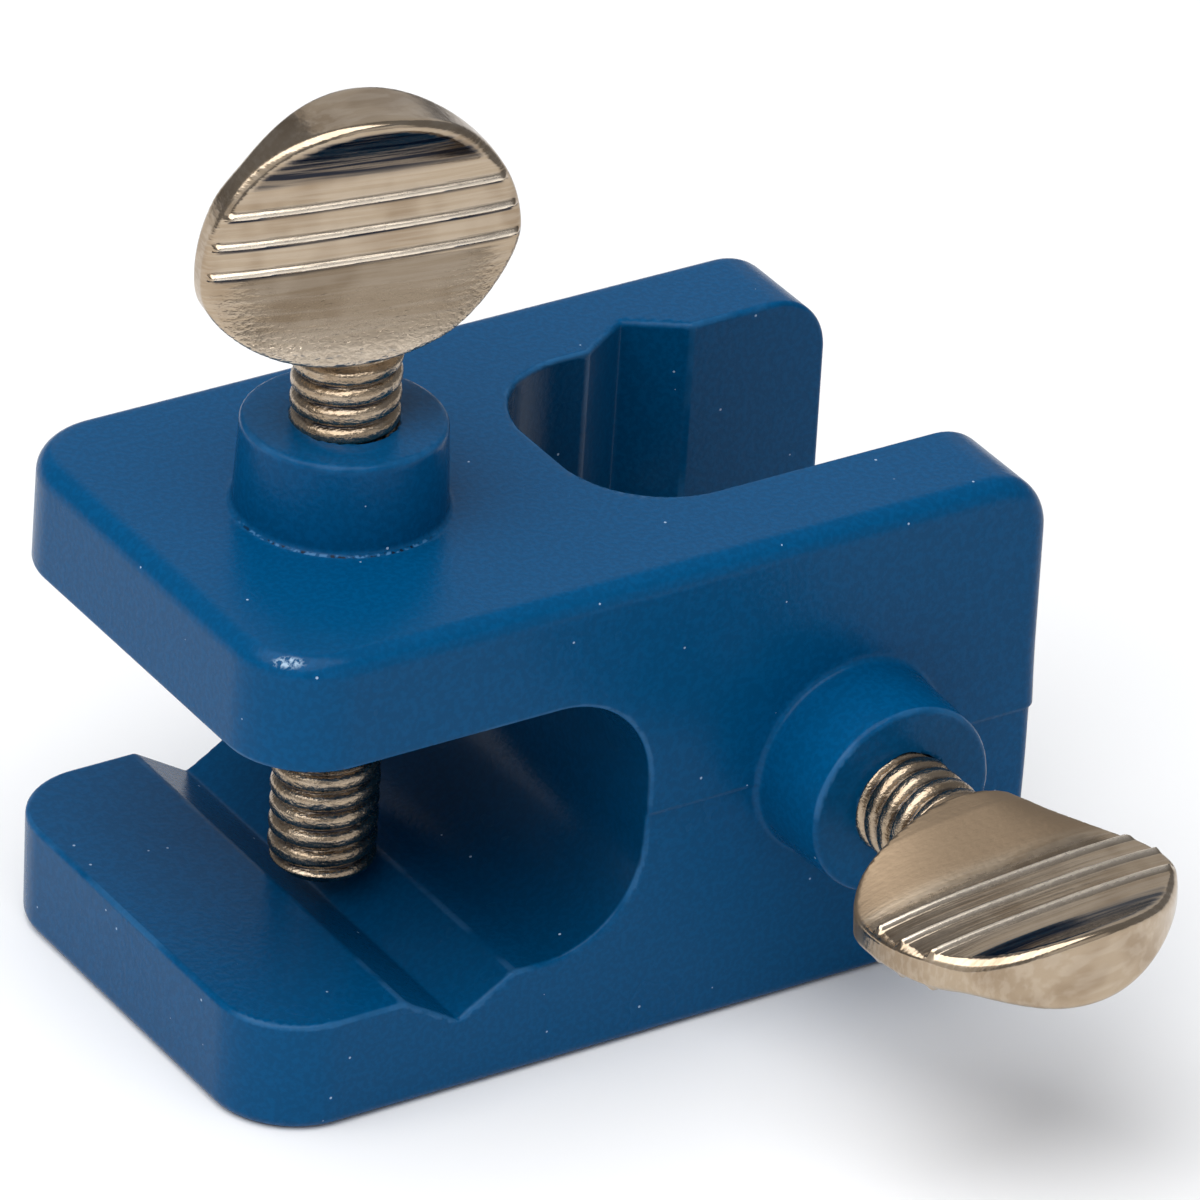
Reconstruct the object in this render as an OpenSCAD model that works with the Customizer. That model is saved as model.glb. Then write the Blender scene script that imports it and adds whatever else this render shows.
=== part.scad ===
// Boss head clamp: a one-piece casting with two jaws at right angles, opening
// opposite ways, and a one-piece thumb screw for each jaw. Millimetres, +Z up.
// The origin is the middle of the casting's flat underside, and +X runs from
// the jaw that the upright screw closes to the jaw that the level screw closes.

/* [Jaws] */
// Clear height of each jaw, between its two arms
jaw_gap = 16.8; // [13.5:0.1:22]
// Depth of each jaw, from its mouth to its back wall
jaw_depth = 25.1; // [20:0.1:32]
// Thickness of each jaw's arms
arm_wall = 7.1; // [5:0.1:10]
// Wall left between the back walls of the two jaws
web_wall = 1.8; // [1.5:0.1:6]
// Radius of the corners where a back wall meets the arms
pocket_corner_r = 6.3; // [2:0.1:6.5]
// Distance of the rod seat and the screw from the mouth
seat_from_mouth = 13.2; // [11:0.1:16]
// Width of the V groove that a rod seats in
groove_width = 7.2; // [4:0.1:9]
// Depth of the V groove
groove_depth = 2.2; // [1:0.1:3]

/* [Casting edges] */
// Radius of the big corners at the mouth of the jaw with the upright screw
top_end_r = 5.2; // [3:0.1:7]
// Radius of the big corners at the mouth of the jaw with the level screw
front_end_r = 3.8; // [3:0.1:7]
// Radius of all other outer edges
edge_r = 1; // [0.5:0.1:2]
// How far the outer sides lean in from the parting line to the flat faces
draft_in = 0.15; // [0.05:0.05:0.5]

/* [Screw boss] */
// Diameter of the boss where it leaves the arm
boss_base_d = 12.4; // [11:0.1:16]
// Diameter of the boss at its face
boss_face_d = 11.9; // [10:0.1:15]
// Height of the boss
boss_height = 5.6; // [3:0.1:8]
// Radius of the fillet round the foot of the boss
boss_fillet_r = 0.5; // [0.3:0.1:1.5]
// Radius of the rim of the boss's face
boss_rim_r = 0.35; // [0.1:0.05:1]

/* [Thumb screw] */
// Outside diameter of the thread
screw_d = 6.35; // [5:0.05:8]
// Radial clearance of the thread in the casting
screw_fit = 0.05; // [0.01:0.01:0.1]
// Height of the chamfer at the screw's tip
tip_chamfer = 0.6; // [0.3:0.1:1.5]
// Thread between the boss and the head when the tip meets the jaw's floor
thread_showing = 5; // [2:0.1:9]
// Gap under the tip of the upright screw
top_tip_gap = 0.1; // [0:0.1:6]
// Gap under the tip of the level screw
front_tip_gap = 0.6; // [0:0.1:6]
// Turn of the upright screw's head about its axis
top_head_turn = -11; // [-90:1:90]
// Turn of the level screw's head about its axis
front_head_turn = 4; // [-90:1:90]
// Tilt of the oval of the upright screw's head in its own plane
top_head_tilt = 6; // [-10:1:10]
// Tilt of the oval of the level screw's head in its own plane
front_head_tilt = -6; // [-10:1:10]

/* [Thumb screw head] */
// Width of the oval head
head_width = 19.4; // [16:0.1:24]
// Height of the head below its widest line
head_low = 5.4; // [4:0.1:8]
// Height of the head above its widest line
head_high = 9.3; // [7:0.1:12]
// Thickness of the head at its foot, next to the thread
foot_thick = 6.9; // [6:0.1:9]
// Height of the lip that stands straight at the foot
foot_lip = 1.2; // [0.4:0.1:2]
// Thickness of the head at its waist
waist_thick = 2.6; // [2:0.1:4]
// Thickness of the head at its crown
crown_thick = 5; // [3:0.1:7]
// Height of the cove between the waist and the crown
cove_height = 3.2; // [2:0.1:4]
// Width of each grip ridge
ridge_width = 0.8; // [0.4:0.1:1.2]
// Height of each grip ridge
ridge_height = 0.35; // [0.1:0.05:0.6]
// Distance from one grip ridge to the next
ridge_pitch = 1.85; // [1.3:0.05:2]

/* [Hidden] */

$fn = 72;
hull_fn = 32;        // facets of a circle inside a hull
cut = 1;             // how far a cutting shape runs past the face that it cuts
band_height = 0.4;   // height of the straight band at the parting line
merge = 0.5;         // how far one piece of a solid reaches into the next
rim_steps = 5;       // points along a rounded rim
ridge_count = 3;
ridge_start = 0.2;   // first ridge's height over the widest line, in ridge pitches
foot_lean = 0.35;    // how far the lip at the head's foot leans in
cove_share = 0.85;   // share of the cove's height below the crown's straight rim
outline_steps = 60;  // points round the oval head
cove_steps = 8;      // points along the cove and along each ridge

body_side = jaw_gap + 2 * arm_wall;
body_length = 2 * jaw_depth + web_wall;
hole_r = screw_d / 2 + screw_fit;
tip_r = screw_d / 2 - tip_chamfer;

// Heights along the screw, measured from the middle of the jaw's gap
boss_foot_z = body_side / 2;
boss_face_z = boss_foot_z + boss_height;
foot_z = boss_face_z + thread_showing;
widest_z = foot_z + head_low;
crown_z = widest_z + head_high;

// The ridges start at the widest line and end below the cove
first_ridge_z = widest_z + ridge_start * ridge_pitch;
cove_z = crown_z - cove_height;
cove_reach = (crown_thick - waist_thick) / 2;
waist_z = first_ridge_z - ridge_width;

blue = [0.07, 0.29, 0.55];
nickel = [0.68, 0.62, 0.54];

function arc_2d(centre, r, from, to, steps) =
    [for (i = [0 : steps])
        let (a = from + (to - from) * i / steps)
        centre + r * [cos(a), sin(a)]];

// Each jaw has a frame of its own: +X runs in from the mouth, Y along the rod
// and +Z towards the screw, from the middle of the mouth.
module in_top_jaw() {
    translate([-body_length / 2, 0, body_side / 2])
        children();
}

module in_front_jaw() {
    translate([body_length / 2, 0, body_side / 2])
        rotate([-90, 0, 180])
            children();
}

// ---- casting ----

module rounded_puck(r, height, rim_r) {
    rotate_extrude($fn = hull_fn)
        polygon(concat(
            [[0, -height / 2]],
            arc_2d([r - rim_r, -height / 2 + rim_r], rim_r, -90, 0, rim_steps),
            arc_2d([r - rim_r, height / 2 - rim_r], rim_r, 0, 90, rim_steps),
            [[0, height / 2]]));
}

// The two big corners at the mouth of a jaw, on a casting whose sides lie
// in_y and in_z inside its full width at this height
module mouth_corners(r, in_y, in_z) {
    for (side = [-1, 1])
        translate([r + draft_in, side * (body_side / 2 - r - in_y), 0])
            rounded_puck(r, body_side - 2 * in_z, edge_r);
}

// The four corners of the casting at the parting line, where it is widest
module parting_band() {
    for (end = [[-1, top_end_r], [1, edge_r]], side = [-1, 1])
        translate([
            end[0] * (body_length / 2 - end[1]),
            side * (body_side / 2 - end[1]),
            body_side / 2])
            cylinder(r = end[1], h = band_height, center = true, $fn = hull_fn);
}

module casting_block() {
    hull() {
        in_top_jaw() mouth_corners(top_end_r, draft_in, 0);
        in_front_jaw() mouth_corners(front_end_r, 0, draft_in);
        parting_band();
    }
}

// The profile of a jaw, with X in from the mouth and Y towards the screw
module jaw_profile() {
    straight = jaw_depth - pocket_corner_r;
    translate([-cut, -jaw_gap / 2])
        square([cut + straight, jaw_gap]);
    translate([straight - merge, -jaw_gap / 2 + pocket_corner_r])
        square([merge + pocket_corner_r, jaw_gap - 2 * pocket_corner_r]);
    for (side = [-1, 1])
        translate([straight, side * (jaw_gap / 2 - pocket_corner_r)])
            circle(r = pocket_corner_r);
    polygon([
        [seat_from_mouth - groove_width / 2, -jaw_gap / 2],
        [seat_from_mouth, -jaw_gap / 2 - groove_depth],
        [seat_from_mouth + groove_width / 2, -jaw_gap / 2],
        [seat_from_mouth, -jaw_gap / 2 + merge]]);
}

module jaw_pocket() {
    rotate([90, 0, 0])
        linear_extrude(height = body_side + 2 * cut, center = true)
            jaw_profile();
}

module screw_boss() {
    foot_r = boss_base_d / 2 + boss_fillet_r;
    rim_x = boss_face_d / 2 - boss_rim_r;
    translate([seat_from_mouth, 0, boss_foot_z])
        rotate_extrude()
            polygon(concat(
                [[0, -merge], [foot_r, -merge]],
                arc_2d([foot_r, boss_fillet_r], boss_fillet_r, 270, 180, cove_steps),
                arc_2d([rim_x, boss_height - boss_rim_r], boss_rim_r, 0, 90, rim_steps),
                [[0, boss_height]]));
}

module screw_hole() {
    translate([seat_from_mouth, 0, 0])
        cylinder(r = hole_r, h = boss_face_z + cut);
}

module clamp_body() {
    color(blue)
        difference() {
            union() {
                casting_block();
                in_top_jaw() screw_boss();
                in_front_jaw() screw_boss();
            }
            in_top_jaw() {
                jaw_pocket();
                screw_hole();
            }
            in_front_jaw() {
                jaw_pocket();
                screw_hole();
            }
        }
}

// ---- thumb screw ----

// The oval face of the head: half an ellipse above the widest line, half a
// flatter one below it, tilted about the middle of that line
module head_outline(head_tilt) {
    translate([0, widest_z])
        rotate(head_tilt)
            polygon([for (i = [0 : outline_steps - 1])
                let (a = 360 * i / outline_steps)
                [head_width / 2 * cos(a), (sin(a) > 0 ? head_high : head_low) * sin(a)]]);
}

// One grip ridge on the profile: half a round, from its lower foot up
function ridge_2d(z) =
    [for (i = [0 : cove_steps])
        let (a = 180 * i / cove_steps)
        [waist_thick / 2 + ridge_height * sin(a), z - ridge_width / 2 * cos(a)]];

// Half of the head's thickness, from its foot to its crown
function half_profile() = concat(
    [[foot_thick / 2, foot_z], [foot_thick / 2 - foot_lean, foot_z + foot_lip], [waist_thick / 2, waist_z]],
    [for (k = [0 : ridge_count - 1]) each ridge_2d(first_ridge_z + k * ridge_pitch)],
    [for (i = [0 : cove_steps])
        let (a = 90 * i / cove_steps)
        [waist_thick / 2 + cove_reach * (1 - cos(a)), cove_z + cove_height * cove_share * sin(a)]],
    [[crown_thick / 2, crown_z + cut]]);

module head_side() {
    for (side = [0, 1])
        mirror([side, 0])
            polygon(concat([[0, crown_z + cut], [0, foot_z]], half_profile()));
}

module screw_head(head_tilt) {
    intersection() {
        rotate([90, 0, 0])
            linear_extrude(height = 2 * foot_thick, center = true)
                head_outline(head_tilt);
        rotate([90, 0, 90])
            linear_extrude(height = head_width + 2 * cut, center = true)
                head_side();
    }
}

module thumbscrew(tip_gap, head_turn, head_tilt) {
    tip_z = -jaw_gap / 2;
    translate([seat_from_mouth, 0, tip_gap]) {
        translate([0, 0, tip_z])
            cylinder(r1 = tip_r, r2 = screw_d / 2, h = tip_chamfer);
        translate([0, 0, tip_z + tip_chamfer])
            cylinder(r = screw_d / 2, h = foot_z + merge - tip_z - tip_chamfer);
        rotate([0, 0, head_turn])
            screw_head(head_tilt);
    }
}

module top_thumbscrew() {
    color(nickel)
        in_top_jaw() thumbscrew(top_tip_gap, top_head_turn, top_head_tilt);
}

module front_thumbscrew() {
    color(nickel)
        in_front_jaw() thumbscrew(front_tip_gap, front_head_turn, front_head_tilt);
}

clamp_body();
top_thumbscrew();
front_thumbscrew();
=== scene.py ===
"""Boss head clamp: a blue casting with two jaws at right angles, opening opposite
ways, and a nickel-plated thumb screw for each jaw."""

import math

import bpy
import numpy as np
from bpy.props import FloatProperty, FloatVectorProperty, PointerProperty
from mathutils import Matrix, Vector


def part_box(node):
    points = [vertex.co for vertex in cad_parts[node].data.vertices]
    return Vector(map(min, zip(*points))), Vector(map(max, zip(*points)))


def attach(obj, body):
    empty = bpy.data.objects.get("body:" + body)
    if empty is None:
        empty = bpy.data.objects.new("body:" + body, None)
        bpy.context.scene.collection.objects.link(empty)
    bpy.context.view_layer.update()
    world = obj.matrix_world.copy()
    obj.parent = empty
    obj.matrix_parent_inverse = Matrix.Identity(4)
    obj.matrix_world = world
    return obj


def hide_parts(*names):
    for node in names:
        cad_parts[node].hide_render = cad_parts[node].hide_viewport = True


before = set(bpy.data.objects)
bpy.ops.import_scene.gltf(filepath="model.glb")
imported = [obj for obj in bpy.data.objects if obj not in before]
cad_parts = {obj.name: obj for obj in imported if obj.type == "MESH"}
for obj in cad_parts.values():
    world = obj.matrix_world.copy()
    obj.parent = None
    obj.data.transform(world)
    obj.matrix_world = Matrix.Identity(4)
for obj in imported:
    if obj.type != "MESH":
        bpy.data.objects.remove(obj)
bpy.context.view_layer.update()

bl_info = {
    "name": "Boss head clamp",
    "version": (1, 0, 0),
    "blender": (4, 5, 0),
    "location": "3D View > Sidebar > Boss head",
    "description": "Makes a boss head clamp's casting, its two thumb screws and a plain stage",
    "category": "Add Mesh",
}

MM = 0.001
BODY_HIGH = np.array(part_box("clamp_body")[1])
HALF_LENGTH = float(BODY_HIGH[0])
SIDE = float(2 * BODY_HIGH[1])
TOP_SCREW_LOW = np.array(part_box("top_thumbscrew")[0])
FRONT_SCREW_HIGH = np.array(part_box("front_thumbscrew")[1])

# Each jaw has a frame of its own: X runs in from the mouth, Y along the rod and
# Z towards the screw, from the middle of the mouth.
TOP_JAW_AXES = np.array([[1, 0, 0], [0, 1, 0], [0, 0, 1]], float)
FRONT_JAW_AXES = np.array([[-1, 0, 0], [0, 0, -1], [0, -1, 0]], float)

# How the two heads differ. Lengths are in millimetres: how much lower the crown is,
# how far the head stands off the thread's axis. The flank is the side, along the
# head's width, that is cut straight; 0 is none. Polish and cast grain are strongest
# at the foot of the head, and the matte finish is added to the roughness.
UPRIGHT_HEAD = {
    "shorter": 0, "off_axis": 0.3, "ridge_slope": 0.022, "flank": 0,
    "foot_polish": 0.45, "face_grain": 0.8, "foot_grain": 2.0, "face_matte": 0.08}
LEVEL_HEAD = {
    "shorter": 0.3, "off_axis": 0, "ridge_slope": 0, "flank": -1,
    "foot_polish": 0, "face_grain": 0.25, "foot_grain": 0, "face_matte": 0.36}
RIDGES = 3


# ---- sizes and colours that a user would change ----

def length(name, text, default):
    """A length property, in metres."""
    return FloatProperty(
        name=name, description=text, default=default, min=0, subtype="DISTANCE", unit="LENGTH")


def angle(name, text, degrees):
    """An angle property, whose default is given in degrees."""
    return FloatProperty(
        name=name, description=text, default=math.radians(degrees), subtype="ANGLE", unit="ROTATION")


def colour(name, text, default):
    """A colour property."""
    return FloatVectorProperty(
        name=name, description=text, default=default, size=3, min=0, max=1, subtype="COLOR")


class CastingSettings(bpy.types.PropertyGroup):
    """Sizes and paint of the casting."""

    jaw_gap: length("Jaw gap", "Clear height of each jaw", 16.8 * MM)
    jaw_depth: length("Jaw depth", "From a jaw's mouth to its back wall", 25.1 * MM)
    pocket_corner_r: length("Pocket corner radius", "Where the back wall meets the arms", 6.3 * MM)
    mouth_edge_r: length("Jaw edge radius", "Rounding of the edges of the jaws", 0.32 * MM)
    seat_from_mouth: length("Seat from mouth", "From a jaw's mouth to its screw", 13.2 * MM)
    groove_width: length("Groove width", "Width of the V seat", 7.2 * MM)
    groove_depth: length("Groove depth", "Depth of the V seat", 2.2 * MM)
    top_end_r: length("Upright corner radius", "Big corners of the jaw with the upright screw", 5.2 * MM)
    front_end_r: length("Level corner radius", "Big corners of the jaw with the level screw", 3.9 * MM)
    upper_edge_r: length("Upper edge radius", "Outer edges above the parting line", 1.3 * MM)
    lower_edge_r: length("Lower edge radius", "Outer edges below the parting line", 0.8 * MM)
    parting_z: length("Parting height", "Height of the parting line", 15.3 * MM)
    parting_step: length("Parting step", "How far the upper half stands proud", 0.14 * MM)
    draft: length("Draft", "How far the sides lean in from the parting line", 0.15 * MM)
    boss_base_d: length("Boss foot diameter", "Screw boss where it leaves the arm", 12.4 * MM)
    boss_face_d: length("Boss face diameter", "Screw boss at its face", 11.9 * MM)
    boss_height: length("Boss height", "Height of the screw boss", 5.6 * MM)
    boss_fillet_r: length("Boss fillet", "Fillet round the foot of the boss", 0.4 * MM)
    boss_rim_r: length("Boss rim radius", "Rounding of the rim of the boss's face", 0.35 * MM)
    hole_d: length("Hole diameter", "Mouth of the screw's hole", 6.16 * MM)
    paint: colour("Paint", "Colour of the paint", (0.0, 0.064, 0.175))
    # Lighter blue for rubbed paint, and also a painted edge highlight along the outward edges.
    worn_and_sheen: colour("Worn paint", "Colour of the paint where edges have rubbed", (0.06, 0.19, 0.38))
    # A lighter colour for a small patch on one corner of the upper edge.
    pale_patch: colour("Chip", "Colour of the scuffed corner", (0.38, 0.52, 0.66))
    speck: colour("Speck", "Colour of the tiny pale specks", (0.3, 0.42, 0.58))
    pit: colour("Pin hole", "Colour of the pin holes at the boss's foot", (0.004, 0.012, 0.03))


class ScrewSettings(bpy.types.PropertyGroup):
    """Sizes and plating of the thumb screws."""

    thread_d: length("Thread diameter", "Across the crests", 6.35 * MM)
    pitch: length("Pitch", "From one crest to the next", 1.27 * MM)
    thread_depth: length("Thread depth", "From crest to valley", 0.45 * MM)
    neck_d: length("Neck diameter", "Plain neck under the head", 5.3 * MM)
    thread_showing: length("Thread showing", "Between boss and head, the tip on the jaw's floor", 5 * MM)
    head_width: length("Head width", "Width of the oval head", 19.1 * MM)
    head_low: length("Head below", "Height of the head below its widest line", 5.4 * MM)
    head_high: length("Head above", "Height of the head above its widest line", 9.3 * MM)
    outline_tilt: angle("Outline tilt", "Turn of the oval in its own plane", 6)
    foot_thick: length("Foot thickness", "Thickness of the head at its foot", 6.9 * MM)
    waist_thick: length("Waist thickness", "Thickness of the head at its ridges", 2.6 * MM)
    crown_thick: length("Crown thickness", "Thickness of the head at its crown", 5.6 * MM)
    cove_height: length("Cove height", "Height of the hollow under the crown", 4.8 * MM)
    ridge_height: length("Ridge height", "How far a grip ridge stands out", 0.38 * MM)
    ridge_pitch: length("Ridge pitch", "From one grip ridge to the next", 1.85 * MM)
    rim_r: length("Rim radius", "Rounding of the head's rim", 0.4 * MM)
    top_turn: angle("Upright head's turn", "Turn of the upright screw's head", -11)
    front_turn: angle("Level head's turn", "Turn of the level screw's head", 4)
    plating: colour("Plating", "Colour of the nickel plate", (0.44, 0.345, 0.245))
    tarnish: colour("Tarnish", "Colour of the plate where it has dulled", (0.31, 0.228, 0.15))
    drawn: colour("Drawn lines", "Colour of the fine drawn lines", (0.66, 0.57, 0.47))
    # Painted highlight as well as a rubbed finish: this pale colour goes on the ridge crests, and on the
    # foot of the upright head.
    polished_and_lit: colour("Polish", "Colour of the rubbed ridge crests", (0.95, 0.83, 0.68))
    # Painted shade as well as soil: this dark colour goes in the thread valleys and under the ridges, and is
    # a painted dark reflection in the cove.
    grime_and_shade: colour("Grime", "Colour of the dark valleys", (0.025, 0.027, 0.036))


class StageSettings(bpy.types.PropertyGroup):
    """Floor, light and camera."""

    floor: colour("Floor", "Colour of the floor", (0.93, 0.93, 0.93))
    sky: colour("Sky", "Colour of the light from all round", (0.9, 0.93, 1.0))
    sky_light: FloatProperty(
        name="Sky light", description="Strength of the light from all round", default=0.26, min=0)
    light: FloatProperty(name="Light", description="Strength of all the lamps", default=1, min=0)
    view_turn: angle("View turn", "Direction of view, from +Y towards +X", 34.48)
    view_drop: angle("View drop", "How far the view looks down", 30.63)
    view_roll: angle("View roll", "Roll of the camera", 3.94)
    distance: length("Distance", "From the camera to the clamp", 654 * MM)
    lens_mm: FloatProperty(name="Lens", description="Focal length, in millimetres", default=337, min=1)


def in_millimetres(settings):
    """The settings that are lengths, in millimetres, by name."""
    kinds = settings.bl_rna.properties.items()
    return {key: getattr(settings, key) / MM for key, kind in kinds if getattr(kind, "unit", "") == "LENGTH"}


# ---- shapes as distances: below zero inside, above zero outside ----

def round_max(a, b, r):
    """What two shapes share, its edges rounded to r: inside the rounding band the
    distance is that of a circle of radius r, elsewhere the larger of the two."""
    return np.minimum(np.maximum(a, b), -r) + np.hypot(np.maximum(a + r, 0), np.maximum(b + r, 0))


def round_min(a, b, r):
    """Two shapes joined, with a fillet of radius r in the corner between them."""
    return -round_max(-a, -b, r)


def rounded_rectangle(u, v, half_u, half_v, r_low, r_high):
    """Distance to a rectangle about the origin, whose corners have radius r_low
    where u is below zero and r_high where it is above."""
    r = np.where(u < 0, r_low, r_high)
    over_u = np.abs(u) - half_u + r
    over_v = np.abs(v) - half_v + r
    within = np.minimum(np.maximum(over_u, over_v), 0)
    beyond = np.hypot(np.maximum(over_u, 0), np.maximum(over_v, 0))
    return within + beyond - r


def ease(x, low, high):
    """0 below low, 1 above high, and a smooth S between them."""
    t = np.clip((x - low) / (high - low), 0, 1)
    return t * t * (3 - 2 * t)


def slope(field, points, step):
    """The field's gradient at the points, by central differences."""
    parts = []
    for axis in range(3):
        shift = np.zeros(3)
        shift[axis] = step
        ahead, behind = points + shift, points - shift
        parts.append((field(*ahead.T) - field(*behind.T)) / (2 * step))
    return np.stack(parts, -1)


def edge_sharpness(field, points, reach):
    """How sharp an outward edge is at each point: the sum of the field's second
    differences, which is 0 on a flat face and 1 over the radius on an edge."""
    total = -6 * field(*points.T)
    for axis in range(3):
        shift = np.zeros(3)
        shift[axis] = reach
        total = total + field(*(points + shift).T) + field(*(points - shift).T)
    return total / reach ** 2


def grid_lines(low, high, coarse, fine=None, bands=()):
    """Grid lines from low to high, fine apart inside the bands and coarse apart
    elsewhere. A band is a place and how far it reaches below and above it."""
    lines = [low]
    while lines[-1] < high:
        here = lines[-1]
        near = any(place - below <= here <= place + above for place, below, above in bands)
        lines.append(here + (fine if near else coarse))
    return np.array(lines)


def net_surface(field, lines):
    """The closed surface where the field is zero. Each grid cell that it crosses
    gets one vertex, at the mean of the crossings on the cell's edges; each grid
    edge that it crosses gets one face, between the four cells round that edge.
    The vertices then move along the field's gradient onto the surface."""
    step, settling_moves, least_slope = 0.01, 3, 0.2
    grid = np.stack(np.meshgrid(*lines, indexing="ij"), -1)
    value = field(grid[..., 0], grid[..., 1], grid[..., 2])
    inside = value < 0
    cells = tuple(n - 1 for n in value.shape)
    total = np.zeros(cells + (3,))
    hits = np.zeros(cells)
    orders = [(0, 1, 2), (1, 2, 0), (2, 0, 1)]
    for order in orders:
        v, within, g = value.transpose(order), inside.transpose(order), grid.transpose(order + (3,))
        crossed = within[:-1] != within[1:]
        share = np.where(crossed, v[:-1] / np.where(crossed, v[:-1] - v[1:], 1), 0)[..., None]
        point = np.where(crossed[..., None], g[:-1] + share * (g[1:] - g[:-1]), 0)
        sums, count = total.transpose(order + (3,)), hits.transpose(order)
        for j in (0, 1):
            for k in (0, 1):
                near = (slice(None), slice(j, j + count.shape[1]), slice(k, k + count.shape[2]))
                sums += point[near]
                count += crossed[near]
    used = hits > 0
    number = np.full(cells, -1)
    number[used] = np.arange(used.sum())
    points = total[used] / hits[used][:, None]
    faces = []
    for order in orders:
        within, num = inside.transpose(order), number.transpose(order)
        crossed = (within[:-1] != within[1:])[:, 1:-1, 1:-1]
        corners = (num[:, :-1, :-1], num[:, 1:, :-1], num[:, 1:, 1:], num[:, :-1, 1:])
        quads = np.stack(corners, -1)[crossed]
        outward = within[:-1, 1:-1, 1:-1][crossed]
        quads[~outward] = quads[~outward][:, ::-1]
        faces.append(quads)
    for _ in range(settling_moves):
        g = slope(field, points, step)
        points = points - (field(*points.T) / np.maximum((g * g).sum(-1), least_slope))[:, None] * g
    return points, np.concatenate(faces)


def make_piece(name, points, faces, normals, material, attributes):
    """A mesh object from points in millimetres, with its own normals and attributes."""
    mesh = bpy.data.meshes.new(name)
    mesh.from_pydata((points * MM).tolist(), [], faces)
    for key, (kind, values) in attributes.items():
        made = mesh.attributes.new(key, kind, "POINT")
        made.data.foreach_set("vector" if kind == "FLOAT_VECTOR" else "value", np.ravel(values))
    mesh.shade_smooth()
    mesh.normals_split_custom_set_from_vertices(normals / np.linalg.norm(normals, axis=1)[:, None])
    mesh.materials.append(material)
    piece = bpy.data.objects.new(name, mesh)
    bpy.context.scene.collection.objects.link(piece)
    return piece


# ---- the casting ----

def casting_field(s):
    """The casting's distance function, in millimetres, and how deep in a jaw a point
    of its surface lies. A block leans in from its parting line; a tapered boss is
    joined to it over each jaw; each jaw's pocket, with a V groove across its floor,
    and each screw's hole are cut out."""
    half, side = HALF_LENGTH / MM, SIDE / MM
    mm = in_millimetres(s)
    groove_half = mm["groove_width"] / 2
    flank = math.atan2(mm["groove_depth"], groove_half)
    hole_r = mm["hole_d"] / 2
    floor = -mm["jaw_gap"] / 2
    step_half = 0.12
    edges_from, edges_to = 10, 20
    boss_sunk, mouth_ahead, vee_above_floor = 2, 5, 1.5
    small_r, vee_lip_r = 0.1, 0.12
    wall_near = 0.03

    def block(x, y, z):
        up = ease(z, mm["parting_z"] - step_half, mm["parting_z"] + step_half)
        lean = mm["draft"] * np.abs(z - mm["parting_z"]) / (side / 2) + mm["parting_step"] * (0.5 - up)
        growth = (mm["upper_edge_r"] - mm["lower_edge_r"]) * ease(z, edges_from, edges_to)
        edge_r = mm["lower_edge_r"] + growth
        u, v, w = x + np.sign(x) * lean, y + np.sign(y) * lean, z - side / 2
        top_outline = rounded_rectangle(u, v, half, side / 2, mm["top_end_r"], mm["lower_edge_r"])
        front_outline = rounded_rectangle(u, w, half, side / 2, mm["lower_edge_r"], mm["front_end_r"])
        top_half = round_max(top_outline, np.abs(w) - side / 2, edge_r)
        front_half = round_max(front_outline, np.abs(v) - side / 2, edge_r)
        return np.where(x < 0, top_half, front_half)

    def boss(a, b, c):
        up = c - side / 2
        taper = (mm["boss_base_d"] - mm["boss_face_d"]) / 2
        r = mm["boss_base_d"] / 2 - taper * up / mm["boss_height"]
        from_axis = np.hypot(a - mm["seat_from_mouth"], b)
        tower = round_max(from_axis - r, up - mm["boss_height"], mm["boss_rim_r"])
        return np.maximum(tower, -boss_sunk - up)

    def pocket(a, c):
        middle = (mm["jaw_depth"] - mouth_ahead) / 2
        hollow = rounded_rectangle(
            a - middle, c, middle + mouth_ahead, mm["jaw_gap"] / 2, small_r, mm["pocket_corner_r"])
        out = np.hypot(a - mm["seat_from_mouth"], small_r)
        vee = (out - groove_half) * math.sin(flank) - (c - floor) * math.cos(flank)
        return round_min(hollow, np.maximum(vee, c - floor - vee_above_floor), vee_lip_r)

    def in_jaws(x, y, z):
        return [(half + x, y, z - side / 2), (half - x, side / 2 - z, -y)]

    def field(x, y, z):
        body = block(x, y, z)
        for a, b, c in in_jaws(x, y, z):
            body = round_min(body, boss(a, b, c), mm["boss_fillet_r"])
        for a, b, c in in_jaws(x, y, z):
            body = round_max(body, -pocket(a, c), mm["mouth_edge_r"])
        for a, b, c in in_jaws(x, y, z):
            hole = np.maximum(np.hypot(a - mm["seat_from_mouth"], b) - hole_r, -c)
            body = round_max(body, -hole, small_r)
        return body

    def depth(x, y, z):
        return sum(np.where(pocket(a, c) < wall_near, a, 0) for a, b, c in in_jaws(x, y, z))

    return field, depth


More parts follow.
